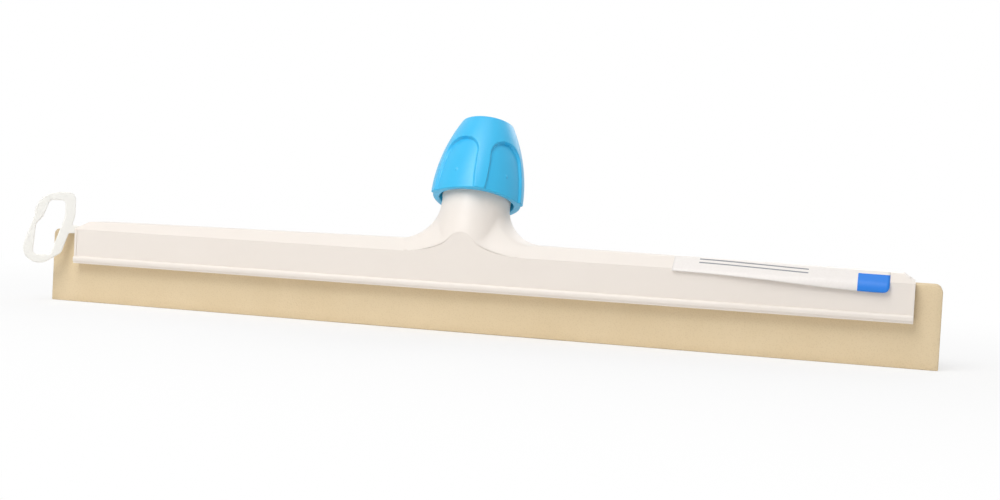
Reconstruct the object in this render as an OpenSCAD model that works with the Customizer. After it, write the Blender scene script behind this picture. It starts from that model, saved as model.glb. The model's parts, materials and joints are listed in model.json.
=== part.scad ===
// Floor squeegee head, 45 cm class, with a replaceable twin blade cassette
// and a screw clamp for a 22 mm tube handle.
// Frame: X runs along the blades, Y points away from the user's side of the
// head, Z is up. The origin is the middle of the leading blade's wiping edge.

/* [Blades] */
// Length of both foam rubber blades
blade_len = 453.2; // [300:0.2:750]
// Overhang of the blades past the holder's left end, beside the loop
blade_over_left = 15.2; // [10:0.2:20]
// Overhang of the blades past the holder's right end
blade_over_right = 12; // [8:0.2:20]
// Height of a blade strip, from the wiping edge to the cassette roof
blade_h = 38; // [32:0.5:50]
// Thickness of one blade strip
blade_t = 8.2; // [6:0.2:12]
// Rounding of the upper corners at the blade ends
blade_corner_r = 3; // [1:0.5:6]
// Height of blade that shows below the holder
blade_show = 20.5; // [14:0.5:24]

/* [Cassette] */
// Wall of the cassette channel
channel_wall = 1.2; // [1:0.1:2]
// Chamfer on the upper edges of the cassette channel
channel_chamfer = 1.6; // [0.6:0.1:1.8]
// Thickness of the spacer strip between the blades
spacer_t = 3.4; // [2:0.2:6]
// Height of the spacer strip
spacer_h = 13; // [8:0.5:14]
// Diameter of the cross pins that hold the strips
pin_d = 2.5; // [1.5:0.1:3]
// Depth of the pins below the top of the blades
pin_depth = 2.6; // [2.4:0.1:4]
// Number of cross pins
pin_count = 9; // [5:1:13]
// Distance from the channel's left end to the first pin
pin_inset = 13; // [8:1:16]

/* [Holder body] */
// Wall of the holder's front and back faces
body_wall = 2.6; // [1.8:0.1:3.2]
// Wall of the holder's roof
roof_wall = 2; // [1.6:0.1:2.6]
// Rise of the roof from the crease to the ridge, beside the neck
roof_rise = 6.2; // [5:0.1:7]
// Fall of the ridge from the neck to the two ends
ridge_fall = 2.2; // [0.5:0.1:3]
// Width of the flat top between the two roof slopes, beside the neck
ridge_w = 13; // [9:0.5:16]
// Length of the slanted ends of the roof
end_run = 5.2; // [2:0.1:8]
// Height above the crease at which the slanted ends start
end_step = 0.5; // [0.3:0.1:1.5]
// Height of the lip along the lower edge
lip_h = 3.8; // [3:0.1:5]
// How far the lip's bead stands out
lip_out = 1.3; // [1:0.1:2]
// Height of the plain foot under the lip's bead
lip_foot = 1.2; // [0.6:0.1:1.6]
// Setback of the foot under the lip's bead
lip_step = 0.5; // [0.2:0.1:0.7]
// Width of the raised bead at each end of the faces
bead_w = 1.2; // [0.8:0.1:4]
// How far the end beads stand out
bead_out = 0.4; // [0.2:0.1:1.2]
// Height of the ledges that carry the cassette
ledge_h = 2.2; // [1.4:0.1:3]
// Thickness of the stiffening ribs under the roof
rib_t = 1.6; // [1:0.1:2.4]
// Number of stiffening ribs under each arm
rib_count = 5; // [2:1:8]
// Thickness of the cassette stop at the right end
stop_t = 2; // [1.5:0.1:4]
// How far the stop reaches down over the cassette's end
stop_drop = 1; // [0.6:0.1:1.2]

/* [Neck and handle socket] */
// Backward lean of the handle from the upright
neck_lean = 20; // [10:1:30]
// Outer diameter of the threaded neck
neck_d = 34; // [30:0.5:40]
// Distance of the neck's foot behind the middle of the holder
neck_back = 0.2; // [0:0.1:3]
// Height of the neck's rim above its foot, along the lean
neck_h = 45; // [42:0.5:50]
// Diameter of the handle socket
socket_d = 22.4; // [20:0.1:24]
// Floor left between the socket and the cassette channel
socket_floor = 3; // [2:0.1:5]
// Radius of the trumpet fillet towards the holder's ends
flare_r = 19; // [12:0.5:24]
// Radius of the trumpet fillet towards the front and the back
flare_front_r = 7; // [4:0.5:12]

/* [Clamp nut and collet] */
// Diameter of the nut's lower rim
nut_d = 47.2; // [44:0.2:54]
// Outer diameter of the nut's tip
nut_tip_d = 26.4; // [25.4:0.2:32]
// Length of the nut
nut_len = 41.5; // [34:0.5:46]
// Radius of the nut's bell shaped side
nut_side_r = 91; // [60:1:140]
// Bore of the nut's tip for the handle
nut_tip_bore = 23.2; // [21:0.1:24]
// Height of the nut's lower rim above the neck's foot
nut_start = 26.8; // [25:0.2:30]
// Wall of the nut's hollow skirt at the lower rim
skirt_wall = 2.6; // [2:0.1:4]
// Depth of the hollow skirt
skirt_h = 6; // [3:0.5:8]
// Number of grip flutes
flute_count = 5; // [4:1:8]
// Height of the arched flutes
flute_h = 28; // [24:0.5:34]
// Width of a flute at the lower rim
flute_w = 23; // [12:0.2:24]
// Width of a flute at the height of its arch
flute_top_w = 17.6; // [16.8:0.2:19]
// Radius of the corners of a flute's arch
flute_arch_r = 8.2; // [3:0.1:8.2]
// Depth of a flute below the bell
flute_depth = 1.1; // [0.6:0.1:1.3]
// Turn of the flutes about the nut's axis as it rests
flute_turn = 54.5; // [0:0.5:72]
// Length of the collet cone below the neck's rim
cone_len = 14; // [8:0.5:18]
// Taper of the cone, in radius over its length
cone_taper = 2.2; // [1:0.1:2.4]
// Wall left at the neck's rim beside the cone
rim_wall = 1.8; // [1.2:0.1:2.2]
// Bore of the collet
collet_bore = 22.7; // [21:0.1:24]
// Height of the collet's snap flange
flange_h = 3.2; // [2:0.1:5]
// How far the flange reaches past the cone
flange_out = 1.1; // [0.6:0.1:1.4]
// Height of the snap bead in the nut below the flange
snap_h = 1.2; // [0.8:0.1:2]
// Number of slots in the collet
slot_count = 4; // [3:1:8]
// Width of a collet slot
slot_w = 1.6; // [1:0.1:3]

/* [Pull loop] */
// Thickness of the loop
loop_t = 2; // [1.8:0.1:3]
// Height of the tongue that is pinned in the channel
tongue_h = 5; // [4.4:0.1:6]
// Length of the tongue inside the channel
tongue_len = 22; // [20:0.5:30]
// Height of the strap that joins the tongue and the loop
strap_h = 4.4; // [3:0.1:5]
// Depth of the strap's lower edge below the top of the blades
strap_drop = 2; // [1:0.1:2.4]
// Gap between the strap's turned part and the upright that it is turned about
strap_gap = 0.9; // [0.8:0.1:1.1]
// Forward turn of the loop about the upright at the channel's end
loop_turn = 35; // [20:1:45]
// Width of the loop
loop_w = 20.6; // [20:0.2:26]
// Height of the loop
loop_h = 40.7; // [39:0.1:46]
// Gap between the loop and the upright that it is turned about
loop_gap = 1.7; // [1.5:0.1:3]
// Outward lean of the loop's lower part
loop_lean = 18.5; // [10:0.5:20]
// Height at which the loop's sides start to lean
loop_bend = 28; // [25:0.5:29]
// Depth of the loop's lower end below the top of the blades
loop_drop = 21; // [16:0.2:22]
// Rise and fall of the loop's slanted foot
loop_foot = 8.4; // [6:0.2:9]
// Rounding of the loop's upper outer corner
loop_top_r = 12; // [6:0.5:12]
// Rounding of the loop's foot
loop_foot_r = 8.2; // [6:0.1:9]
// Rounding of the loop's corners beside the holder
loop_near_r = 3.5; // [2:0.1:5]
// Width of the band beside the holder
band_w = 5.2; // [4:0.1:5.6]
// Height of the eye's lower end
eye_low = 7.5; // [6:0.1:9]
// Height of the eye's upper end
eye_top = 36.2; // [34:0.1:36.6]
// Width of the eye at its lower end
eye_low_w = 8.8; // [7:0.1:10]
// Width of the eye where it is widest
eye_wide_w = 12.9; // [12:0.1:13.4]
// Height of the eye's widest place
eye_wide = 23.3; // [20:0.1:24]
// Width of the eye above its step
eye_neck_w = 10.8; // [9:0.1:11]
// Height of the eye's step
eye_step = 3.9; // [3:0.1:5]
// Width of the eye at its upper end
eye_top_w = 7.7; // [6:0.1:9]
// Rounding of the eye's corners
eye_r = 2; // [1:0.1:2.2]

/* [Label] */
// Length of the paper label
label_len = 98; // [60:1:120]
// Distance from the holder's right end to the label
label_inset = 11; // [8:1:40]
// Thickness of the paper
label_t = 0.25; // [0.2:0.05:0.4]
// Width of paper on the roof's slope
label_up = 6; // [3:0.1:6]
// Width of paper that hangs free past the crease
label_free = 3.8; // [1:0.1:5]
// Hang of the free paper below the level
label_hang = 65; // [50:1:80]

/* [Clearances] */
// Gap between the cassette and the holder
slide_gap = 0.3; // [0.2:0.05:0.6]
// Least gap between the cassette roof and the holder's slopes
roof_gap = 0.4; // [0.3:0.05:1]
// Radial gap between a pin and its holes
pin_gap = 0.05; // [0.02:0.01:0.1]
// Radial gap between the neck's thread and the nut
thread_gap = 0.4; // [0.3:0.05:0.6]
// Radial gap between the collet and its seats
collet_gap = 0.2; // [0.1:0.05:0.3]

/* [Hidden] */
$fn = 96;
// Overlap of joined solids, and overshoot of cuts past a face
eps = 0.01;
over = 1;
// Steps of a small and of a large rounded corner
corner_steps = 6;
arch_steps = 10;

// Widths across the head, as half widths from its middle plane
blade_half = spacer_t / 2 + blade_t;
channel_half = blade_half + channel_wall;
void_half = channel_half + slide_gap;
body_half = void_half + body_wall;
ridge_half = ridge_w / 2;
lead_y = spacer_t / 2 + blade_t / 2;

// Heights of the cassette and the holder
channel_bottom = blade_show + ledge_h + slide_gap;
channel_top = blade_h + channel_wall;
roof_angle = atan(roof_rise / (body_half - ridge_half));
chamfer_half = channel_half - channel_chamfer;
crease_z = channel_top + roof_gap + roof_wall / cos(roof_angle)
    - (body_half - chamfer_half) * tan(roof_angle);
ridge_z = crease_z + roof_rise;
ridge_end_z = ridge_z - ridge_fall;
void_top = ridge_end_z - roof_wall;
void_crease = crease_z + body_wall * tan(roof_angle) - roof_wall / cos(roof_angle);
void_ridge_half = void_half - (void_top - void_crease) / tan(roof_angle);
pin_z = blade_h - pin_depth;

// Places along the head
body_len = blade_len - blade_over_left - blade_over_right;
body_left = -body_len / 2;
body_right = body_len / 2;
channel_left = body_left;
channel_right = body_right - stop_t - slide_gap;
pin_left = channel_left + pin_inset;
pin_pitch = (channel_right - pin_inset - pin_left) / (pin_count - 1);

// Neck, socket, collet and nut along the leaning axis
neck_r = neck_d / 2;
socket_r = socket_d / 2;
socket_start = (void_top + socket_floor - crease_z) / cos(neck_lean) + socket_r * tan(neck_lean);
cone_top_r = neck_r - rim_wall;
cone_low_r = cone_top_r - cone_taper;
cone_start = neck_h - cone_len;
flange_start = neck_h + snap_h + 2 * slide_gap;
flange_r = cone_top_r - collet_gap + flange_out;
snap_start = flange_start - snap_h - collet_gap;
groove_top = flange_start + flange_h + collet_gap;
flare_sink = 0.12;
flare_x = neck_r + flare_r;

// Arc of a corner between three points, as a list of points
function unit(v) = v / norm(v);
function turn(a, b) = (b - a > 180) ? b - a - 360 : (b - a < -180) ? b - a + 360 : b - a;
function corner(p, q, s, r, n) =
    let (a = unit(p - q), b = unit(s - q), half = acos(a * b) / 2)
    let (c = q + unit(a + b) * r / sin(half))
    let (d = q + a * r / tan(half) - c, e = q + b * r / tan(half) - c)
    let (from = atan2(d.y, d.x), sweep = turn(from, atan2(e.y, e.x)))
    [for (i = [0:n]) c + r * [cos(from + sweep * i / n), sin(from + sweep * i / n)]];

// Outline with rounded corners, from points given as x, y and radius
function xy(p) = [p.x, p.y];
function rounded(pts, n = corner_steps) =
    let (m = len(pts))
    [for (i = [0:m - 1])
        each pts[i].z > 0
            ? corner(xy(pts[(i + m - 1) % m]), xy(pts[i]), xy(pts[(i + 1) % m]), pts[i].z, n)
            : [xy(pts[i])]];

// Half outline mirrored about the vertical axis
function mirrored(pts) = concat(pts, [for (i = [len(pts) - 1:-1:0]) [-pts[i].x, pts[i].y]]);

// Moves from the middle plane of the head to the origin on the leading blade
module head() { translate([0, lead_y, 0]) children(); }

// Runs a Y-Z outline along X between two places
module along_x(from, to) {
    translate([from, 0, 0]) rotate([90, 0, 90]) linear_extrude(height = to - from) children();
}

// Runs an X-Z outline along Y between two places
module along_y(from, to) {
    translate([0, to, 0]) rotate([90, 0, 0]) linear_extrude(height = to - from) children();
}

// Stands on the foot of the neck, along its lean
module on_neck() {
    translate([0, neck_back, crease_z]) rotate([-neck_lean, 0, 0]) children();
}

// Gabled cross-section of an arm
module arm_profile() {
    polygon(mirrored([[body_half, blade_show], [body_half, crease_z], [ridge_half, ridge_z]]));
}

// Cross-section of the space inside the holder, above the ledges
module void_profile() {
    polygon(mirrored([[void_half, blade_show + ledge_h], [void_half, void_crease],
        [void_ridge_half, void_top]]));
}

// Gabled bar of the holder; its ridge falls to two slanted ends
module bar() {
    half = [[body_right, blade_show - over], [body_right, crease_z + end_step],
        [body_right - end_run, ridge_end_z], [0, ridge_z]];
    intersection() {
        along_x(body_left, body_right) arm_profile();
        along_y(-body_half - over, body_half + over) polygon(mirrored(half));
    }
}

// Height of the roof at a place along the head and a distance from its middle plane
function roof_z(x, y) = min(
    ridge_z - ridge_fall * abs(x) / (body_right - end_run),
    crease_z + roof_rise * max(0, (body_half - abs(y)) / (body_half - ridge_half)));

// Place of the neck's axis at a height, and the point of the roof at a reach from it
function lean_y(z) = neck_back + (z - crease_z) * tan(neck_lean);
function foot_y(x, y, reach, n = 6) =
    n == 0 ? y : foot_y(x, lean_y(roof_z(x, y)) + reach, reach, n - 1);

// Point of the trumpet fillet in direction a about the neck, b degrees up from the
// roof: its radius is large along the head and small across it, and it leans back
// with the neck, so that the flat faces cut it in a bell shaped arch
function flare_point(a, b) =
    let (r = flare_front_r + (flare_r - flare_front_r) * pow(cos(a), 4))
    let (out = neck_r - flare_sink + r * (1 - sin(b)), rise = r * (1 - cos(b)) - flare_sink)
    let (x = out * cos(a), y = foot_y(x, neck_back, out * sin(a) / cos(neck_lean)))
    [x, y + rise * tan(neck_lean), roof_z(x, y) + rise];

// Rings of the trumpet, from a foot inside the holder to a floor inside the neck
flare_steps = 12;
flare_sides = 80;
flare_turns = [for (i = [0:flare_sides - 1]) -360 * i / flare_sides];
flare_top = crease_z + flare_front_r;
flare_rings = concat(
    [[for (a = flare_turns) let (p = flare_point(a, 0)) [p.x, p.y, blade_show + lip_h]]],
    [for (i = [0:flare_steps]) [for (a = flare_turns) flare_point(a, 90 * i / flare_steps)]],
    [[for (a = flare_turns) [socket_r * cos(a) / 2, lean_y(flare_top) + socket_r * sin(a) / 2, flare_top]]]);

// Skin of a run of rings with equal point counts, closed at both ends
module loft(rings) {
    n = len(rings[0]);
    last = len(rings) - 1;
    sides = [for (i = [0:last - 1], j = [0:n - 1])
        let (k = (j + 1) % n)
        each [[i * n + j, i * n + k, (i + 1) * n + k], [i * n + j, (i + 1) * n + k, (i + 1) * n + j]]];
    caps = [[for (j = [n - 1:-1:0]) j], [for (j = [0:n - 1]) last * n + j]];
    polyhedron([for (ring = rings) each ring], concat(sides, caps));
}

// Trumpet fillet, cut by the planes of the front and back faces
module flare() {
    intersection() {
        loft(flare_rings);
        translate([-flare_x, -body_half, blade_show]) cube([2 * flare_x, 2 * body_half, 3 * neck_h]);
    }
}

// Neck down into the holder, cut by the plane of the front face
module neck() {
    reach = body_half / sin(neck_lean);
    intersection() {
        on_neck() translate([0, 0, -reach]) cylinder(h = reach + neck_h, r = neck_r);
        translate([-neck_d, -body_half, blade_show + lip_h]) cube([2 * neck_d, 4 * neck_d, 4 * neck_h]);
    }
}

// Lip along the lower edge of one face, a rounded bead over a plain foot; side is -1 or 1
module lip(side) {
    root = body_half - body_wall / 2;
    foot = body_half + lip_out - lip_step;
    bead = body_half + lip_out;
    outline = [[root, blade_show, 0], [foot, blade_show, lip_step], [foot, blade_show + lip_foot, 0],
        [bead, blade_show + lip_foot, lip_step / 2], [bead, blade_show + lip_h, lip_out - eps],
        [root, blade_show + lip_h, 0]];
    along_x(body_left, body_right)
        polygon([for (p = rounded(outline)) [side * p.x, p.y]]);
}

// Raised beads at the ends of one face; side is -1 or 1
module end_beads(side) {
    depth = bead_out + body_wall / 2;
    y = side * (body_half + bead_out - depth / 2);
    for (x = [body_left, body_right - bead_w])
        translate([x, y - depth / 2, blade_show + lip_h / 2])
            cube([bead_w, depth, crease_z - blade_show - lip_h / 2]);
}

// Space for the cassette, with the roof ribs and the end stop left standing
module cassette_void() {
    arm_len = body_right - flare_x;
    rib_z = channel_top + slide_gap;
    difference() {
        along_x(body_left - over, body_right + over) void_profile();
        for (side = [-1, 1], i = [1:rib_count])
            translate([side * (flare_x + arm_len * (i - 0.5) / rib_count) - rib_t / 2, -body_half, rib_z])
                cube([rib_t, 2 * body_half, ridge_z]);
        translate([body_right - stop_t, -body_half, channel_top - stop_drop])
            cube([stop_t, 2 * body_half, ridge_z]);
    }
    translate([body_left - over, -blade_half - slide_gap, blade_show - over])
        cube([body_len + 2 * over, 2 * (blade_half + slide_gap), ledge_h + 2 * over]);
}

// Moulded holder with the roof, neck and handle socket
module holder_body() color("ghostwhite") head() difference() {
    union() {
        bar();
        for (side = [-1, 1]) {
            lip(side);
            end_beads(side);
        }
        flare();
        neck();
    }
    cassette_void();
    on_neck() {
        translate([0, 0, socket_start]) cylinder(h = neck_h, r = socket_r);
        translate([0, 0, cone_start])
            cylinder(h = cone_len + eps, r1 = cone_low_r, r2 = cone_top_r);
    }
}

// Paper label on the right arm's front slope, its lower edge hanging free
module product_label() color("white") head() {
    crease = [-body_half, crease_z];
    bend = (roof_angle + label_hang) / 2;
    top = crease + label_up * [cos(roof_angle), sin(roof_angle)];
    tip = crease - label_free * [cos(label_hang), sin(label_hang)];
    along_x(body_right - label_inset - label_len, body_right - label_inset)
        polygon([top, crease, tip,
            tip + label_t * [-sin(label_hang), cos(label_hang)],
            crease + label_t / cos(label_hang - bend) * [-sin(bend), cos(bend)],
            top + label_t * [-sin(roof_angle), cos(roof_angle)]]);
}

// Split cone that grips the handle, with a flange that snaps into the nut
module clamp_collet() color("gainsboro") head() on_neck() difference() {
    union() {
        translate([0, 0, cone_start])
            cylinder(h = cone_len, r1 = cone_low_r - collet_gap, r2 = cone_top_r - collet_gap);
        translate([0, 0, neck_h - eps])
            cylinder(h = flange_start - neck_h + 2 * eps, r = cone_top_r - collet_gap);
        translate([0, 0, flange_start]) cylinder(h = flange_h, r = flange_r);
    }
    translate([0, 0, cone_start - over]) cylinder(h = neck_h, r = collet_bore / 2);
    for (i = [0:slot_count - 1])
        rotate([0, 0, 360 * (i + 0.5) / slot_count])
            translate([0, -slot_w / 2, cone_start - over])
                cube([nut_d, slot_w, flange_start - cone_start + flange_h / 2]);
}

// Centre of an arc that bulges outward between two points, given as radius and height
function arc_centre(p, q, r) =
    (p + q) / 2 - sqrt(r * r - (q - p) * (q - p) / 4) * unit([q.y - p.y, p.x - q.x]);

// Bell shaped side of the nut, and its outline set in by some depth
nut_r = nut_d / 2;
nut_steps = 10;
nut_centre = arc_centre([nut_r, 0], [nut_tip_d / 2, nut_len], nut_side_r);
function nut_side(z) = nut_centre.x + sqrt(pow(nut_side_r, 2) - pow(z - nut_centre.y, 2));
module bell(inset) {
    rotate_extrude() polygon(concat(
        [[0, 0]],
        [for (i = [0:nut_steps]) let (z = nut_len * i / nut_steps) [nut_side(z) - inset, z]],
        [[0, nut_len]]));
}

// Grip flutes with arched outlines; their floors follow the bell
module flutes() {
    outline = [[flute_w / 2, -eps, 0], [flute_top_w / 2, flute_h, flute_arch_r],
        [-flute_top_w / 2, flute_h, flute_arch_r], [-flute_w / 2, -eps, 0]];
    difference() {
        for (i = [0:flute_count - 1])
            rotate([0, 0, flute_turn + 360 * (i + 0.5) / flute_count])
                along_y(neck_r, nut_d) polygon(rounded(outline, arch_steps));
        translate([0, 0, -2 * eps]) bell(flute_depth);
    }
}

// Clamp nut with its hollow skirt, thread bore, snap groove and grip flutes
module clamp_nut() color("deepskyblue") head() on_neck() translate([0, 0, nut_start]) {
    bore_r = neck_r + thread_gap;
    snap_r = cone_top_r + collet_gap;
    groove_r = flange_r + collet_gap;
    inside = [for (z = [snap_start, flange_start - collet_gap, groove_top]) z - nut_start];
    difference() {
        bell(0);
        translate([0, 0, -eps]) cylinder(h = skirt_h, r1 = nut_r - skirt_wall, r2 = bore_r);
        translate([0, 0, -over]) cylinder(h = inside[0] + over, r = bore_r);
        translate([0, 0, inside[0] - eps]) cylinder(h = inside[1] - inside[0] + 2 * eps, r = snap_r);
        translate([0, 0, inside[1]]) cylinder(h = inside[2] - inside[1], r = groove_r);
        translate([0, 0, inside[2] - eps]) cylinder(h = nut_len, r = nut_tip_bore / 2);
        flutes();
    }
}

// Tongue of the loop in the channel's front wall, grown by a gap and run past the channel's end
module tongue_outline(gap = 0, past = 0) {
    translate([channel_left - past, blade_h - tongue_h - gap])
        square([tongue_len + gap + past, tongue_h + gap]);
}

// Places the cross pins
module at_pins() {
    for (i = [0:pin_count - 1])
        translate([pin_left + i * pin_pitch, 0, pin_z]) rotate([90, 0, 0]) children();
}

// Holes for the cross pins
module pin_holes() {
    at_pins() cylinder(h = 4 * channel_half, r = pin_d / 2 + pin_gap, center = true, $fn = 32);
}

// Upturned channel that slides in the holder and carries the strips
module cassette_channel() color("whitesmoke") head() difference() {
    along_x(channel_left, channel_right) polygon(concat(
        [[-blade_half, channel_bottom], [-channel_half, channel_bottom],
         [-channel_half, channel_top - channel_chamfer], [-chamfer_half, channel_top]],
        [[chamfer_half, channel_top], [channel_half, channel_top - channel_chamfer],
         [channel_half, channel_bottom], [blade_half, channel_bottom],
         [blade_half, blade_h], [-blade_half, blade_h]]));
    along_y(-channel_half - over, -blade_half) tongue_outline(slide_gap, over);
    pin_holes();
}

// Outlines of the pull loop, as x out from the channel's end, z above its lower end and
// radius: a band that leans outward below its bend, and an eye that narrows in a step
loop_low = blade_h - loop_drop;
function loop_side(z) = min(0, z - loop_bend) * tan(loop_lean) - loop_gap;
function eye_side(z, w) = loop_side(z) - band_w - w;
loop_outer = [
    [loop_side(loop_h), loop_h, loop_near_r], [loop_side(loop_bend), loop_bend, loop_top_r],
    [loop_side(loop_foot), loop_foot, loop_near_r],
    [loop_side(-loop_foot) - loop_w, -loop_foot, loop_foot_r],
    [loop_side(loop_bend) - loop_w, loop_bend, 0], [loop_side(loop_h) - loop_w, loop_h, loop_top_r]];
loop_eye = [
    [eye_side(eye_top, 0), eye_top, eye_r], [eye_side(loop_bend, 0), loop_bend, loop_top_r],
    [eye_side(eye_low, 0), eye_low, eye_r], [eye_side(eye_low, eye_low_w), eye_low, eye_r],
    [eye_side(eye_wide, eye_wide_w), eye_wide, eye_r],
    [eye_side(eye_wide + eye_step, eye_neck_w), eye_wide + eye_step, eye_r],
    [eye_side(eye_top, eye_top_w), eye_top, eye_r]];

// Pull and hanging loop, turned forward, with a strap and a tongue that the first pin holds
module pull_loop() color("ivory") head() {
    strap_z = blade_h - strap_drop;
    strap_len = loop_gap + band_w - strap_gap;
    translate([channel_left, -channel_half, 0]) rotate([0, 0, loop_turn])
        along_y(0, loop_t) {
            translate([0, loop_low]) difference() {
                polygon(rounded(loop_outer, arch_steps));
                polygon(rounded(loop_eye));
            }
            translate([-loop_gap - band_w, strap_z]) square([strap_len, strap_h]);
        }
    difference() {
        along_y(-channel_half, -blade_half) {
            tongue_outline();
            translate([channel_left - 2 * channel_wall, strap_z])
                square([2 * channel_wall + eps, strap_h]);
        }
        pin_holes();
    }
}

// Spacer strip between the two blades
module spacer_strip() color("whitesmoke") head() difference() {
    translate([channel_left, -spacer_t / 2, blade_h - spacer_h])
        cube([channel_right - channel_left, spacer_t, spacer_h]);
    pin_holes();
}

// Foam rubber strip with rounded upper corners; side is -1 or 1
module blade(side) {
    left = body_left - blade_over_left;
    right = body_right + blade_over_right;
    edges = [side * spacer_t / 2, side * blade_half];
    outline = [[left, 0, 0], [right, 0, 0],
        [right, blade_h, blade_corner_r], [left, blade_h, blade_corner_r]];
    difference() {
        along_y(min(edges), max(edges)) polygon(rounded(outline));
        pin_holes();
    }
}

module front_blade() color("burlywood") head() blade(-1);

module rear_blade() color("burlywood") head() blade(1);

// Cross pins, flush with the channel's walls
module cassette_pins() color("silver") head() at_pins()
    cylinder(h = 2 * channel_half, r = pin_d / 2, center = true, $fn = 32);

holder_body();
product_label();
clamp_collet();
clamp_nut();
cassette_channel();
pull_loop();
spacer_strip();
front_blade();
rear_blade();
cassette_pins();
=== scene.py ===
# %% [markdown]
# A floor squeegee head, dressed for a studio picture. The solid pieces come from
# the imported model, which fixes every place and size, so this lesson only gives
# them the soft edges, the moulded skins, the foam and the paper that the solids
# lack. We load the model first.

# %% Load the solid model
import json
from math import cos, hypot, pi, radians, sin, sqrt, tan

import bmesh
import bpy
from mathutils import Matrix, Quaternion, Vector, noise


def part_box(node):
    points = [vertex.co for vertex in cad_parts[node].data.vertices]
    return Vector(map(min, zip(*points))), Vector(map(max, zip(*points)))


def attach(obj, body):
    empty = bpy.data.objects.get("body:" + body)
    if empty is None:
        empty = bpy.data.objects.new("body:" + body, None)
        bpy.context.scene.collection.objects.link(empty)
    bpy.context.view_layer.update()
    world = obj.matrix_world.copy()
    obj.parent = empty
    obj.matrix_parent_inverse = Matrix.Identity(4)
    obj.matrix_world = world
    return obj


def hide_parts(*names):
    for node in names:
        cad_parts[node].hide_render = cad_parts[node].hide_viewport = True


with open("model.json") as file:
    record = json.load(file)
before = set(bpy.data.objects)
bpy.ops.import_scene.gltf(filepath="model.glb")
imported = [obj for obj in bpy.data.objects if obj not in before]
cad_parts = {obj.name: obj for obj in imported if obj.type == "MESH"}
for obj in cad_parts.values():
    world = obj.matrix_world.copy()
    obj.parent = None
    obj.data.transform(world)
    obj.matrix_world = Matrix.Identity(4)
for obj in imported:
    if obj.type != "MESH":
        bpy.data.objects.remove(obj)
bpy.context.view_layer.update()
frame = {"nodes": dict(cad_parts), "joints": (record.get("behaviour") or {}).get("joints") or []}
mm = 0.001
merge_gap = 0.001 * mm
print("nodes:", ", ".join(sorted(frame["nodes"])))

# %% [markdown]
# Colours are written as sRGB hex values, but the shaders want linear light, so one
# function turns them. A second one adds a node to a material, sets its options and
# links its inputs, and a third starts a finish with its shader and its output.

# %% Colour and node helpers
def linear(hex_colour):
    parts = [int(hex_colour[i:i + 2], 16) / 255 for i in (1, 3, 5)]
    return [p / 12.92 if p <= 0.04045 else ((p + 0.055) / 1.055) ** 2.4 for p in parts] + [1.0]


def add_node(tree, kind, inputs=None, **options):
    made = tree.nodes.new(kind)
    for name, value in options.items():
        setattr(made, name, value)
    for name, value in (inputs or {}).items():
        if isinstance(value, bpy.types.NodeSocket):
            tree.links.new(value, made.inputs[name])
        else:
            made.inputs[name].default_value = value
    return made


def new_finish(name):
    finish = bpy.data.materials.new(name)
    finish.use_nodes = True
    tree = finish.node_tree
    tree.nodes.clear()
    shader = add_node(tree, "ShaderNodeBsdfPrincipled")
    add_node(tree, "ShaderNodeOutputMaterial", {"Surface": shader.outputs[0]})
    place = add_node(tree, "ShaderNodeTexCoord").outputs["Object"]
    return finish, tree, shader, place


print("white plastic, linear:", [round(v, 3) for v in linear("#F2EAE2")])

# %% [markdown]
# Three steps come back in most finishes: a noise of a given grain, a blend of two
# colours and a little arithmetic. With a short name for each of them, every finish
# stays a short recipe.

# %% Recipe helpers
def cloud(tree, place, size, detail=2.0):
    inputs = {"Vector": place, "Scale": 1 / size, "Detail": detail}
    return add_node(tree, "ShaderNodeTexNoise", inputs).outputs[0]


def blend(tree, share, first, second):
    # A Mix node has inputs for every kind of value; 6 and 7 are its two colours
    inputs = {0: share, 6: first, 7: second}
    return add_node(tree, "ShaderNodeMix", inputs, data_type="RGBA").outputs[2]


def maths(tree, kind, a, b):
    return add_node(tree, "ShaderNodeMath", {0: a, 1: b}, operation=kind).outputs[0]


print("a grain of 1 mm is a noise scale of", round(1 / mm))

# %% [markdown]
# Most of the head is injection moulded polypropylene. What the eye notices is a
# soft gloss, a very slight cloudiness where the melt flowed, and a fine eroded skin
# from the steel mould. All the plastics here share that recipe and differ in colour
# and gloss. The skin's real grain is about 0.15 mm, too fine to show, so it is
# drawn at 0.7 mm.

# %% Moulded plastic
flow_size, grain_size, grain_depth = 45 * mm, 0.7 * mm, 0.2 * mm
flow_low, flow_high, gloss_spread = 0.3, 0.7, 0.04
grain_strength, plastic_ior = 0.02, 1.49


def moulded_plastic(name, colour, cloud_colour, roughness):
    finish, tree, shader, place = new_finish(name)
    flow = cloud(tree, place, flow_size)
    grain = cloud(tree, place, grain_size, detail=3.0)
    tint = blend(tree, flow, linear(colour), linear(cloud_colour))
    gloss = add_node(tree, "ShaderNodeMapRange", {
        "Value": flow, "From Min": flow_low, "From Max": flow_high,
        "To Min": roughness - gloss_spread, "To Max": roughness + gloss_spread})
    bump = add_node(tree, "ShaderNodeBump", {
        "Height": grain, "Strength": grain_strength, "Distance": grain_depth})
    tree.links.new(tint, shader.inputs["Base Color"])
    tree.links.new(gloss.outputs[0], shader.inputs["Roughness"])
    tree.links.new(bump.outputs[0], shader.inputs["Normal"])
    shader.inputs["IOR"].default_value = plastic_ior
    return finish


white_plastic = moulded_plastic("moulded white polypropylene", "#F2EAE2", "#EFE6DD", 0.42)
blue_plastic = moulded_plastic("moulded blue polypropylene", "#3AC0F2", "#35BAEE", 0.34)
natural_plastic = moulded_plastic("moulded natural polypropylene", "#FEFDF8", "#FDFBF5", 0.36)
grey_plastic = moulded_plastic("moulded grey acetal", "#C9CBCC", "#C3C5C6", 0.3)
print("plastics:", [m.name for m in (white_plastic, blue_plastic, natural_plastic, grey_plastic)])
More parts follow.
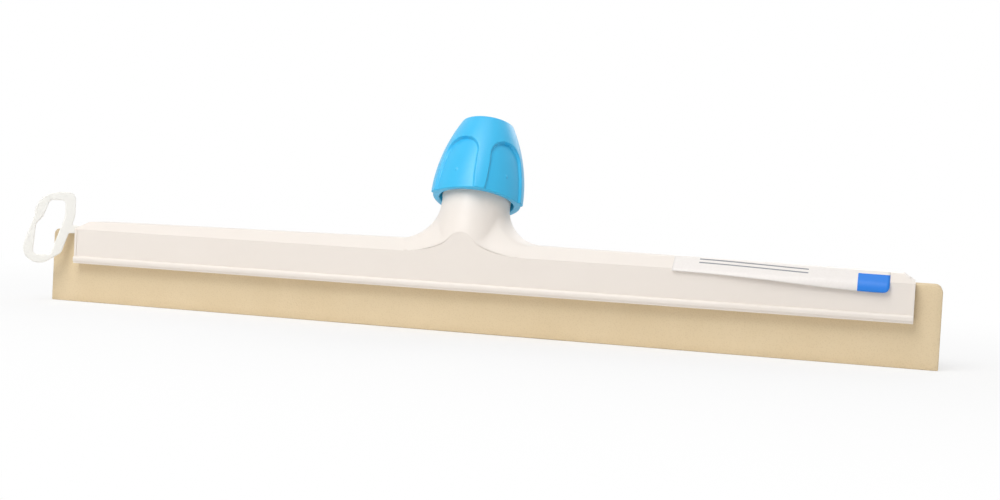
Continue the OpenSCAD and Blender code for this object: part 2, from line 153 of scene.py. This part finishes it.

# %% [markdown]
# The blades are moss rubber, a foamed natural rubber cut from sheet. The eye sees
# a matt, sandy surface with tiny open cells and slow blotches where the foam is
# denser. Real cells are 0.2 to 0.4 mm; they are drawn at 0.9 mm so that they
# still show in a picture of the whole head. The hollow of each cell is painted
# darker, as painted shade.

# %% Foam rubber
blotch_size, cell_size, cell_depth = 28 * mm, 0.9 * mm, 0.25 * mm
pit_shade_edge, pit_shade_share, cell_strength = 0.45, 0.35, 0.25
foam_roughness, foam_ior = 0.85, 1.52


def foam_rubber():
    finish, tree, shader, place = new_finish("cut moss rubber foam")
    blotch = cloud(tree, place, blotch_size, detail=3.0)
    cream = blend(tree, blotch, linear("#EAD6B3"), linear("#E1CBA5"))
    cells = add_node(tree, "ShaderNodeTexVoronoi", {"Vector": place, "Scale": 1 / cell_size})
    from_middle = cells.outputs["Distance"]
    # Darker towards each cell's middle: painted shade in the open cell's hollow
    pit_shade = add_node(tree, "ShaderNodeMapRange", {
        "Value": from_middle, "From Min": 0.0, "From Max": pit_shade_edge,
        "To Min": pit_shade_share, "To Max": 0.0})
    cell_shaded = blend(tree, pit_shade.outputs[0], cream, linear("#CDB48C"))
    bump = add_node(tree, "ShaderNodeBump", {
        "Height": from_middle, "Strength": cell_strength, "Distance": cell_depth})
    tree.links.new(cell_shaded, shader.inputs["Base Color"])
    tree.links.new(bump.outputs[0], shader.inputs["Normal"])
    shader.inputs["Roughness"].default_value = foam_roughness
    shader.inputs["IOR"].default_value = foam_ior
    return finish


foam = foam_rubber()
print("foam:", foam.name)

# %% [markdown]
# The cross pins are drawn steel wire: a bright metal with fine lines along the
# pin, which only show where the cassette is pulled out.

# %% Steel wire
line_size, line_stretch = 0.3 * mm, (1.0, 0.05, 1.0)
smooth_line, rough_line = 0.22, 0.42


def steel_wire():
    finish, tree, shader, place = new_finish("drawn steel wire")
    along = add_node(tree, "ShaderNodeMapping", {"Vector": place, "Scale": line_stretch})
    lines = cloud(tree, along.outputs[0], line_size)
    gloss = add_node(tree, "ShaderNodeMapRange", {
        "Value": lines, "To Min": smooth_line, "To Max": rough_line})
    tree.links.new(gloss.outputs[0], shader.inputs["Roughness"])
    shader.inputs["Base Color"].default_value = linear("#C8C9CB")
    shader.inputs["Metallic"].default_value = 1.0
    return finish


steel = steel_wire()
print("metal:", steel.name)

# %% [markdown]
# Two small helpers finish a piece: one wraps a mesh in an object, the other gives
# it its finish and its body, and hides the solids that it stands for. The object
# always stays at the origin, because the place is in the mesh.

# %% Piece helpers
def piece_from(shape, name):
    mesh = bpy.data.meshes.new(name)
    shape.to_mesh(mesh)
    shape.free()
    piece = bpy.data.objects.new(name, mesh)
    bpy.context.scene.collection.objects.link(piece)
    mesh.polygons.foreach_set("use_smooth", [True] * len(mesh.polygons))
    return piece


def dress(piece, finish, body, slot, *nodes):
    piece.data.materials.append(finish)
    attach(piece, body)
    if nodes:
        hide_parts(*nodes)
    print(piece.name, "faces:", len(piece.data.polygons), "rides on", body)


print("helpers ready for", len(frame["nodes"]), "nodes")

# %% [markdown]
# The holder is one long moulding: a gabled bar with a lip, and a neck that grows
# out of it through a trumpet fillet. The solid already has that form, so a merged
# copy of it only needs what a mould always leaves, a small round on each edge. A
# Bevel modifier rounds the edges that a weight marks. Those about the neck stay
# sharp, because the neck gets a smooth skin of its own further on.

# %% Edge helpers
def copied_shape(node):
    shape = bmesh.new()
    shape.from_mesh(frame["nodes"][node].data)
    bmesh.ops.remove_doubles(shape, verts=shape.verts, dist=merge_gap)
    return shape


def mark_edges(shape, angle, wanted):
    weight = shape.edges.layers.float.new("bevel_weight_edge")
    for e in shape.edges:
        middle = (e.verts[0].co + e.verts[1].co) / 2
        if e.calc_face_angle(0) > radians(angle):
            e[weight] = float(wanted(middle))
            e.smooth = wanted(middle)


def soften(piece, width):
    bevel = piece.modifiers.new("soft edges", "BEVEL")
    bevel.width = width
    bevel.segments = 3
    bevel.limit_method = "WEIGHT"
    flats = piece.modifiers.new("flat faces", "WEIGHTED_NORMAL")
    flats.keep_sharp = True


print("the solid holder has", len(frame["nodes"]["holder_body"].data.polygons), "faces")

# %% [markdown]
# The solid is made of triangles. Faces that lie within a fraction of a degree of
# each other are joined first, so that the rounds run along whole edges.

# %% Holder body
flat_angle, edge_angle, edge_round = 0.4, 24, 0.45 * mm
fillet_reach, fillet_low = 37 * mm, 38 * mm

shape = copied_shape("holder_body")
bmesh.ops.dissolve_limit(shape, angle_limit=radians(flat_angle), verts=shape.verts,
                         edges=shape.edges)
mark_edges(shape, edge_angle, lambda at: abs(at.x) > fillet_reach or at.z < fillet_low)
holder = piece_from(shape, "holder_moulding")
soften(holder, edge_round)
dress(holder, white_plastic, "holder", "holder_plastic", "holder_body")

# %% [markdown]
# The trumpet fillet is wide along the bar and narrow across it, and leans back
# with the neck. As a solid it is made of small flats, which gloss would show. A
# fine grid is bent to the same form, a hair outside it: its columns are directions
# about the neck, its rows climb the fillet and then the neck. First come the sizes
# of the roof that the fillet stands on.

# %% Roof under the neck
mid_y = 5.8 * mm
body_half, ridge_half, crease_z = 14 * mm, 6.5 * mm, 38.475 * mm
roof_rise, ridge_fall, ridge_end = 6.2 * mm, 2.2 * mm, 207.8 * mm


def roof_z(x, y):
    ridge = crease_z + roof_rise - ridge_fall * abs(x) / ridge_end
    slope = crease_z + roof_rise * max(0, (body_half - abs(y)) / (body_half - ridge_half))
    return min(ridge, slope)


print("roof height at the middle, mm:", round(roof_z(0, 0) / mm, 2))

# %% [markdown]
# A point of the fillet is given by its direction a about the neck and its climb b,
# a quarter turn from the roof to the neck. The roof's height moves the leaning foot
# and the foot's place changes that height, so the two are found in turn. The lowest
# row is sunk into the roof and comes out over the first half radian of the climb, so
# that no edge shows there.

# %% Neck skin sizes
neck_r, neck_h, neck_back, neck_lean = 17 * mm, 45 * mm, 0.2 * mm, radians(20)
flare_r, flare_front_r, flare_power = 19 * mm, 7 * mm, 4
skin, sunk_foot, skin_out = 0.09 * mm, 0.06 * mm, 0.5
foot_tries = 6


def soft_step(t):
    t = min(max(t, 0), 1)
    return t * t * (3 - 2 * t)


def foot_y(x, reach):
    y = neck_back
    for _ in range(foot_tries):
        y = neck_back + (roof_z(x, y) - crease_z) * tan(neck_lean) + reach
    return y


def flare_point(a, b):
    r = flare_front_r + (flare_r - flare_front_r) * cos(a) ** flare_power
    out = neck_r + skin + r * (1 - sin(b))
    x = out * cos(a)
    y = foot_y(x, out * sin(a) / cos(neck_lean))
    rise = r * (1 - cos(b)) - sunk_foot + (skin + sunk_foot) * soft_step(b / skin_out)
    return Vector((x, y + rise * tan(neck_lean), roof_z(x, y) + rise))


print("fillet top at the side, mm:", [round(v / mm, 1) for v in flare_point(0, pi / 2)])

# %% [markdown]
# The lower rows follow the fillet; above it each column slides on along the neck's
# axis to the rim. Bisect cuts the grid at the planes of the front and back faces,
# and the cut at the front is the arch. The seam of the grid is welded at the end.

# %% Neck skin
axis = Vector((0, sin(neck_lean), cos(neck_lean)))
neck_foot = Vector((0, neck_back, crease_z))
flare_rows, neck_rows, columns = 20, 6, 160

shape = bmesh.new()
bmesh.ops.create_grid(shape, x_segments=columns, y_segments=flare_rows + neck_rows, size=0.5)
fillet = []
for v in shape.verts:
    a = 2 * pi * (v.co.x + 0.5)
    row = (v.co.y + 0.5) * (flare_rows + neck_rows)
    place = flare_point(a, pi / 2 * min(row / flare_rows, 1))
    climb = neck_h - (place - neck_foot).dot(axis)
    v.co = place + axis * climb * max(row - flare_rows, 0) / neck_rows
    if row < flare_rows + 0.5:
        fillet.append(v)
in_fillet = set(fillet)
fillet_edges = [e for e in shape.edges if in_fillet.issuperset(e.verts)]
fillet_faces = [f for f in shape.faces if in_fillet.issuperset(f.verts)]
bmesh.ops.bisect_plane(shape, geom=[*fillet, *fillet_edges, *fillet_faces], dist=merge_gap,
                       clear_outer=True, plane_co=(0, body_half, 0), plane_no=(0, 1, 0))
bmesh.ops.bisect_plane(shape, geom=[*shape.verts, *shape.edges, *shape.faces], dist=merge_gap,
                       clear_inner=True, plane_co=(0, -body_half, 0), plane_no=(0, 1, 0))
bmesh.ops.remove_doubles(shape, verts=shape.verts, dist=2 * merge_gap)
bmesh.ops.recalc_face_normals(shape, faces=shape.faces)
bmesh.ops.translate(shape, vec=(0, mid_y, 0), verts=shape.verts)
neck_skin = piece_from(shape, "neck_skin")
dress(neck_skin, white_plastic, "holder", "holder_plastic")

# %% [markdown]
# The neck carries a coarse clamp thread. A thread is a small section swept along
# a helix, and Spin does that in one step when it also moves along the axis. Both
# ends are sunk into the neck, as the run-out of a moulded thread is. The thread is
# made upright at the origin, then laid on the axis of the joint that turns the nut.

# %% Neck thread
nut_joint = next(j for j in frame["joints"] if j["name"] == "nut_turn")
neck_axis = Vector(nut_joint["axis"])
neck_mid = Vector(nut_joint["pos_m"])
lean = Vector((0, 0, 1)).rotation_difference(neck_axis)
upright = Matrix.Translation(neck_mid) @ lean.to_matrix().to_4x4()
thread_pitch, thread_low = 3 * mm, 6.2 * mm
turns, turn_steps = 5, 72
run_out, sink_per_turn = 0.4, 1 * mm
# Corners of the section in mm: out from the neck, then up
section = [(-0.15, -1.0), (0.32, -0.35), (0.32, 0.35), (-0.15, 1.0)]

shape = bmesh.new()
corners = [shape.verts.new((neck_r + x * mm, 0, thread_low + z * mm)) for x, z in section]
ring = shape.faces.new(corners)
climb = Vector((0, 0, thread_pitch / turn_steps))
bmesh.ops.spin(shape, geom=[ring, *ring.edges, *ring.verts], cent=(0, 0, 0), axis=(0, 0, 1),
               dvec=climb, angle=2 * pi * turns, steps=turn_steps * turns)
for v in shape.verts:
    rise = (v.co.z - thread_low) / thread_pitch
    sink = max(0, run_out - rise, rise - turns + run_out)
    v.co.xy -= v.co.xy.normalized() * sink * sink_per_turn
bmesh.ops.recalc_face_normals(shape, faces=shape.faces)
bmesh.ops.transform(shape, matrix=upright, verts=shape.verts)
thread = piece_from(shape, "neck_thread")
dress(thread, white_plastic, "holder", "holder_plastic")

# %% [markdown]
# The clamp nut is a bell with five arched grip flutes, moulded in blue. Its solid
# has sharp flute edges, because they are cuts, while the real ones run soft into
# the bell. So the nut is made anew. First come its sizes, and the centre of the
# long arc that its side follows, found from the rim, the tip and the arc's radius.
# The rim's height counts along the neck's axis, from the place of the joint.

# %% Clamp nut sizes
nut_rim = 6.6013 * mm
nut_r, nut_tip_r, nut_len, nut_side_r = 23.6 * mm, 13.2 * mm, 41.5 * mm, 91 * mm
flute_h, flute_half, flute_top_half, flute_arch_r = 28 * mm, 11.5 * mm, 8.8 * mm, 8.2 * mm
flute_depth, flute_turn, flute_count = 1.1 * mm, 54.5, 5
flute_step, flute_flat = 0.9 * mm, 0.8 * mm
gate_up, gate_r, gate_out = 10 * mm, 0.9 * mm, 0.3 * mm
arc_steps, round_steps, rim_round = 100, 640, 0.8 * mm

rim, tip = Vector((nut_r, 0)), Vector((nut_tip_r, nut_len))
chord = tip - rim
inward = Vector((-chord.y, chord.x)).normalized()
bell = (rim + tip) / 2 + inward * sqrt(nut_side_r ** 2 - chord.length_squared / 4)


def bell_out(up):
    return bell.x + sqrt(nut_side_r ** 2 - (up - bell.y) ** 2)


print("bell radius at half height, mm:", round(bell_out(nut_len / 2) / mm, 2))

# %% [markdown]
# The bell is a turned form, so its half section is spun about the axis. Spin also
# draws the side's long arc, from one point; the bore, the collet seat and the room
# for the thread are a few straight edges. The hard hoops get a small bevel. The
# steps are fine, because the flutes are pressed into this skin next.

# %% Clamp nut shape
hoop_angle, hoop_round = 50, 0.5 * mm
# Corners of the inside in mm, from the tip down: radius, then height
inside = [(11.6, 41.5), (11.6, 23.4), (16.3, 23.4), (16.3, 19.8), (15.4, 19.8), (15.4, 18.6),
          (17.4, 18.6), (17.4, 6.8), (18.5, 5.8), (18.8, 0)]

shape = bmesh.new()
rim_point = shape.verts.new((nut_r, 0, 0))
centre = Vector((bell.x, 0, bell.y))
swing = (rim_point.co - centre).angle(Vector((nut_tip_r, 0, nut_len)) - centre)
bmesh.ops.spin(shape, geom=[rim_point], cent=centre, axis=(0, -1, 0), angle=swing, steps=arc_steps)
last = max(shape.verts, key=lambda v: v.co.z)
for r, z in inside:
    point = shape.verts.new((r * mm, 0, z * mm))
    shape.edges.new((last, point))
    last = point
shape.edges.new((last, rim_point))
bmesh.ops.spin(shape, geom=[*shape.verts, *shape.edges], cent=(0, 0, 0), axis=(0, 0, 1),
               angle=2 * pi, steps=round_steps, use_merge=True)
bmesh.ops.remove_doubles(shape, verts=shape.verts, dist=merge_gap)
bmesh.ops.recalc_face_normals(shape, faces=shape.faces)
hoops = [e for e in shape.edges if e.calc_face_angle(0) > radians(hoop_angle)]
bmesh.ops.bevel(shape, geom=hoops, offset=hoop_round, offset_type="OFFSET", segments=3,
                profile=0.5, affect="EDGES", material=-1, clamp_overlap=True)
print("nut faces before the flutes:", len(shape.faces))

# %% [markdown]
# A flute could be cut out with a Boolean, but then its edge needs a bevel along a
# long curve. Here each point of the skin moves towards the axis instead, by a
# depth that fades in over a narrow step at the arched outline and grows a little
# towards the middle, so that the flute is flatter than the bell. A small round dot
# low in each flute is left standing, the mark where the melt entered the mould.

# %% Clamp nut flutes
sharp_angle = 60


def inside_arch(across, up):
    half = flute_half + (flute_top_half - flute_half) * up / flute_h
    x = abs(across) - (half - flute_arch_r)
    z = up - (flute_h - flute_arch_r)
    return flute_arch_r - hypot(max(x, 0), max(z, 0)) - min(max(x, z), 0)


for v in shape.verts:
    up = min(max(v.co.z, 0), nut_len)
    away = v.co.xy.normalized()
    if v.co.xy.length < bell_out(up) - rim_round:
        continue
    press = 0
    for i in range(flute_count):
        turn = radians(90 + flute_turn + 360 * (i + 0.5) / flute_count)
        out = Vector((cos(turn), sin(turn)))
        if away.dot(out) > 0:
            across = away.cross(out) * bell_out(up)
            flat = flute_flat * max(0, 1 - (across / flute_half) ** 2)
            fade = soft_step(0.5 + inside_arch(across, up) / flute_step)
            press = max(press, (flute_depth + flat) * fade)
            press -= gate_out * soft_step(2 - 2 * hypot(across, up - gate_up) / gate_r)
    v.co.xy -= away * press
bmesh.ops.transform(shape, matrix=upright @ Matrix.Translation((0, 0, nut_rim)), verts=shape.verts)
nut = piece_from(shape, "clamp_nut_moulding")
nut.data.set_sharp_from_angle(angle=radians(sharp_angle))
dress(nut, blue_plastic, "nut", "nut_plastic", "clamp_nut")

# %% [markdown]
# The pull loop is a flat flexible moulding in undyed plastic, bent forward, with
# generous rounds that a finger would expect. Its outline is right in the solid. A
# Bevel would stop at the short edges of its curves, so a copy gets an even skin of
# small squares by Remesh instead, and Smooth then rounds every edge alike.

# %% Pull loop
loop_square, loop_smoothing, loop_passes = 0.3 * mm, 0.5, 10

loop = piece_from(copied_shape("pull_loop"), "pull_loop_moulding")
squares = loop.modifiers.new("even skin", "REMESH")
squares.mode = "VOXEL"
squares.voxel_size = loop_square
squares.use_smooth_shade = True
rounds = loop.modifiers.new("soft edges", "SMOOTH")
rounds.factor = loop_smoothing
rounds.iterations = loop_passes
dress(loop, natural_plastic, "cassette", "loop_plastic", "pull_loop")

# %% [markdown]
# A blade is a strip cut from foam sheet. We draw its outline as one face, round
# the upper corners, extrude it to its thickness, round the cut edges, and slice it
# into short lengths, so that it can bend in the next step.

# %% Foam strip
blade_corner_r, cut_round, cut_angle = 3 * mm, 0.5 * mm, 60
slice_len, slice_h = 6 * mm, 4 * mm


def blade_strip(node):
    low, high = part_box(node)
    shape = bmesh.new()
    corners = [(low.x, low.z), (high.x, low.z), (high.x, high.z), (low.x, high.z)]
    outline = shape.faces.new([shape.verts.new((x, low.y, z)) for x, z in corners])
    upper = [v for v in outline.verts if v.co.z > high.z - mm]
    bmesh.ops.bevel(shape, geom=upper, offset=blade_corner_r, offset_type="OFFSET", segments=5,
                    profile=0.5, affect="VERTICES", material=-1)
    front = shape.faces[:]
    grown = bmesh.ops.extrude_face_region(shape, geom=front, use_keep_orig=True)["geom"]
    far_side = [v for v in grown if isinstance(v, bmesh.types.BMVert)]
    bmesh.ops.translate(shape, vec=(0, high.y - low.y, 0), verts=far_side)
    bmesh.ops.recalc_face_normals(shape, faces=shape.faces)
    rims = [e for e in shape.edges if e.calc_face_angle(0) > radians(cut_angle)]
    bmesh.ops.bevel(shape, geom=rims, offset=cut_round, offset_type="OFFSET", segments=2,
                    profile=0.5, affect="EDGES", material=-1)
    for normal, step in ((Vector((1, 0, 0)), slice_len), (Vector((0, 0, 1)), slice_h)):
        place = low.dot(normal) + step
        while place < high.dot(normal) - step / 2:
            everything = [*shape.verts, *shape.edges, *shape.faces]
            bmesh.ops.bisect_plane(shape, geom=everything, dist=merge_gap,
                                   plane_co=normal * place, plane_no=normal)
            place += step
    return shape


# %% [markdown]
# The free part of a blade never hangs quite true: it waves a little, most at the
# wiping edge. A slow noise along the blade, with a finer one on top, leans it.

# %% Foam blades
blade_free, blade_sway, blade_sharp = 19 * mm, 0.9 * mm, 70
slow_wave, fine_wave, fine_share, fine_shift = 90 * mm, 35 * mm, 0.3, 7


def hang(shape, seed):
    for v in shape.verts:
        drop = soft_step((blade_free - v.co.z) / blade_free)
        slow = noise.noise((v.co.x / slow_wave, seed, 0))
        fine = noise.noise((v.co.x / fine_wave, seed + fine_shift, 0))
        v.co.y += blade_sway * drop * (slow + fine_share * fine)


for node, seed in (("front_blade", 3.5), ("rear_blade", 8.5)):
    shape = blade_strip(node)
    hang(shape, seed)
    blade = piece_from(shape, node.replace("blade", "foam_blade"))
    blade.data.set_sharp_from_angle(angle=radians(blade_sharp))
    dress(blade, foam, "cassette", "blade_foam", node)

# %% [markdown]
# The label is a strip of coated paper. Its print is generic, a plain blue end and
# two thin grey rules. It could be a picture, but bands are sharper and smaller when
# they are drawn by comparing the paper's own flat coordinates, in millimetres, with
# the edges of each band. A fine fibre noise keeps the white from being one flat tone.

# %% Printed paper
fibre_size, paper_roughness = 1.2 * mm, 0.45
# Bands of print in mm on the flat paper: rows count up it, spans along it
upper_rule, lower_rule, rule_span = (8.6, 9.4), (6.2, 7.0), (12.0, 62.0)
panel_row, panel_span = (-1.0, 9.6), (84.0, 99.0)


def printed_paper():
    finish, tree, shader, place = new_finish("coated label paper")
    flat = add_node(tree, "ShaderNodeUVMap", uv_map="paper_mm")
    axes = add_node(tree, "ShaderNodeSeparateXYZ", {0: flat.outputs[0]})
    along, up = axes.outputs[0], axes.outputs[1]

    def between(value, band):
        low, high = band
        inputs = {0: value, 1: (low + high) / 2, 2: (high - low) / 2}
        return add_node(tree, "ShaderNodeMath", inputs, operation="COMPARE").outputs[0]

    rules = maths(tree, "MAXIMUM", between(up, upper_rule), between(up, lower_rule))
    ruled = maths(tree, "MULTIPLY", rules, between(along, rule_span))
    panel = maths(tree, "MULTIPLY", between(along, panel_span), between(up, panel_row))
    fibre = cloud(tree, place, fibre_size, detail=4.0)
    white = blend(tree, fibre, linear("#F4EFEB"), linear("#ECE6E1"))
    inked = blend(tree, ruled, white, linear("#8E9094"))
    done = blend(tree, panel, inked, linear("#1C7FE3"))
    tree.links.new(done, shader.inputs["Base Color"])
    shader.inputs["Roughness"].default_value = paper_roughness
    return finish


paper = printed_paper()
print("paper:", paper.name)

# %% [markdown]
# The paper is folded over the roof. Its lower edge has no glue and stands off the
# face, more to the right, and a little more in some places than in others. One
# function gives the place of any point of the bent paper.

# %% Label fold
low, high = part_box("product_label")
label_len = high.x - low.x
paper_w, paper_thick, corner_r = 14.2 * mm, 0.2 * mm, 2.6 * mm
free_left, free_right = 1.6 * mm, 5.2 * mm
# Droop of the free paper below the level in degrees, with its growth per mm
droop_start, droop_growth, droop_reach = 42, 5.5, 6
ripple, ripple_len, ripple_seed = 7, 38 * mm, 2.5
paper_gap = 0.06 * mm
crease = Vector((mid_y - body_half, crease_z))
roof_slope = Vector((body_half - ridge_half, roof_rise)).normalized()
paper_lift = Vector((-roof_slope.y, roof_slope.x)) * paper_gap


def paper_point(x, down):
    """Place of the paper at x, down from the crease along the paper, as y and z."""
    rise = roof_rise - ridge_fall * x / ridge_end
    slope_len = rise / roof_slope.y
    if down < -slope_len:
        return crease + roof_slope * slope_len + Vector((-down - slope_len, 0)) + paper_lift
    if down < 0:
        return crease - roof_slope * down + paper_lift
    wave = ripple * noise.noise((x / ripple_len, ripple_seed, 0))
    droop = radians(droop_start + droop_growth * min(down / mm, droop_reach) + wave)
    return crease - Vector((cos(droop), sin(droop))) * down + paper_lift


print("label, flat, mm:", round(label_len / mm, 1), "by", round(paper_w / mm, 1))

# %% [markdown]
# A grid keeps its flat place as a UV map, then each point goes to its place on the
# bent paper, and Solidify gives the thickness. The lower right corner is cut round.

# %% Label
label_columns, label_rows = 70, 28

shape = bmesh.new()
bmesh.ops.create_grid(shape, x_segments=label_columns, y_segments=label_rows, size=0.5,
                      calc_uvs=False)
for v in shape.verts:
    v.co = ((v.co.x + 0.5) * label_len, (v.co.y + 0.5) * paper_w, 0)
    over = Vector((v.co.x - label_len + corner_r, v.co.y - corner_r))
    if over.x > 0 > over.y and over.length > corner_r:
        v.co.xy -= over * (1 - corner_r / over.length)
flat_mm = shape.loops.layers.uv.new("paper_mm")
for f in shape.faces:
    for corner in f.loops:
        corner[flat_mm].uv = corner.vert.co.xy / mm
for v in shape.verts:
    x = low.x + v.co.x
    free = free_left + (free_right - free_left) * soft_step(v.co.x / label_len)
    place = paper_point(x, free - v.co.y)
    v.co = (x, place.x, place.y)
bmesh.ops.recalc_face_normals(shape, faces=shape.faces)
label = piece_from(shape, "paper_label")
sheet = label.modifiers.new("paper thickness", "SOLIDIFY")
sheet.thickness = paper_thick
sheet.offset = 1.0
dress(label, paper, "holder", "label_paper", "product_label")

# %% [markdown]
# The collet, the cassette channel, the spacer and the pins are right as solids.
# They keep their shape and only get their finishes.

# %% Solids that stay
for node, finish in (("clamp_collet", grey_plastic), ("cassette_channel", white_plastic),
                     ("spacer_strip", white_plastic), ("cassette_pins", steel)):
    mesh = frame["nodes"][node].data
    mesh.materials.clear()
    mesh.materials.append(finish)
    print(node, "has", finish.name)

# %% [markdown]
# The stage is a white floor that fades into a white surround. Near the head the
# floor is partly lit, so it keeps a faint shadow; further off it only shows white
# to the camera and to reflections. The finish comes first, with a helper that tells
# which rays end in the eye.

# %% Floor finish
near_scale, lit_share = (1.6, 2.6, 1.0), 0.75


def seen_by_eye(tree):
    paths = add_node(tree, "ShaderNodeLightPath").outputs
    mirrored = maths(tree, "MAXIMUM", paths["Is Camera Ray"], paths["Is Glossy Ray"])
    return maths(tree, "MAXIMUM", mirrored, paths["Is Transmission Ray"])


def white_floor():
    finish = bpy.data.materials.new("white studio floor")
    finish.use_nodes = True
    tree = finish.node_tree
    tree.nodes.clear()
    place = add_node(tree, "ShaderNodeTexCoord").outputs["Object"]
    ball = add_node(tree, "ShaderNodeMapping", {"Vector": place, "Scale": near_scale})
    fade = add_node(tree, "ShaderNodeTexGradient", {"Vector": ball.outputs[0]},
                    gradient_type="QUADRATIC_SPHERE")
    lit = maths(tree, "MULTIPLY", fade.outputs[0], lit_share)
    glow = maths(tree, "MULTIPLY", maths(tree, "SUBTRACT", 1.0, lit), seen_by_eye(tree))
    matt = add_node(tree, "ShaderNodeBsdfDiffuse", {"Color": linear("#F4F4F4")})
    white = add_node(tree, "ShaderNodeEmission", {"Color": linear("#FFFFFF"), "Strength": 1.0})
    mixed = add_node(tree, "ShaderNodeMixShader", {
        0: glow, 1: matt.outputs[0], 2: white.outputs[0]})
    add_node(tree, "ShaderNodeOutputMaterial", {"Surface": mixed.outputs[0]})
    return finish


floor_finish = white_floor()
print("floor finish:", floor_finish.name)

# %% [markdown]
# The floor itself is one large square, a hair below the wiping edge, so that the two
# never share a plane.

# %% Floor
floor_half, floor_drop = 6.0, 0.1 * mm

shape = bmesh.new()
bmesh.ops.create_grid(shape, x_segments=1, y_segments=1, size=floor_half)
bmesh.ops.translate(shape, vec=(0, 0, -floor_drop), verts=shape.verts)
floor = piece_from(shape, "studio_floor")
floor.data.materials.append(floor_finish)
print("stage:", floor.name)

# %% [markdown]
# The surround is plain white where the camera or a reflection sees it. As a light
# it is weaker, because the soft boxes do most of the work.

# %% Surround
fill_level, seen_level = 0.36, 1.0

world = bpy.data.worlds.new("white surround")
bpy.context.scene.world = world
world.use_nodes = True
tree = world.node_tree
tree.nodes.clear()
level = add_node(tree, "ShaderNodeMapRange", {
    "Value": seen_by_eye(tree), "To Min": fill_level, "To Max": seen_level})
sky = add_node(tree, "ShaderNodeBackground", {
    "Color": linear("#FFFFFF"), "Strength": level.outputs[0]})
add_node(tree, "ShaderNodeOutputWorld", {"Surface": sky.outputs[0]})
print("surround:", world.name)

# %% [markdown]
# Four soft boxes light the head: a key from the upper left, a stronger one high
# above the camera, which lifts the roof above the front face, a weak one overhead
# for the ridge, and one behind, for views of the back. The surround fills the rest.

# %% Lights
head = Vector((0, 0, 40 * mm))
box_size = 0.9


def soft_box(name, place, watts):
    lamp = bpy.data.lights.new(name, "AREA")
    lamp.shape = "DISK"
    lamp.size = box_size
    lamp.energy = watts
    box = bpy.data.objects.new(name, lamp)
    bpy.context.scene.collection.objects.link(box)
    box.location = place
    box.rotation_euler = (head - Vector(place)).to_track_quat("-Z", "Y").to_euler()


soft_box("key", (-0.5, -1.05, 0.95), 4.2)
soft_box("top", (-0.2, -0.75, 1.2), 8.0)
soft_box("over", (0, -0.25, 1.3), 2.2)
soft_box("rear", (0.3, 1.2, 0.75), 3.5)

# %% [markdown]
# The camera was fitted to the head's corners: it stands a little to the right,
# just above the bar, and is rolled by a few degrees.

# %% Camera
yaw, rise, roll = radians(16.025), radians(2.54), radians(2.936)
aim, distance = Vector((16.26, 5.8, 41.09)) * mm, 697.51 * mm
focal_mm, sensor_mm = 51.03, 36.0

back = Vector((sin(yaw) * cos(rise), -cos(yaw) * cos(rise), sin(rise)))
lens = bpy.data.cameras.new("camera")
lens.sensor_width = sensor_mm
lens.lens = focal_mm
camera = bpy.data.objects.new("camera", lens)
bpy.context.scene.collection.objects.link(camera)
camera.location = aim + back * distance
camera.rotation_mode = "QUATERNION"
camera.rotation_quaternion = back.to_track_quat("Z", "Y") @ Quaternion((0, 0, 1), roll)
bpy.context.scene.camera = camera
bpy.context.scene.view_settings.view_transform = "Standard"
print("camera at", [round(v, 3) for v in camera.location])
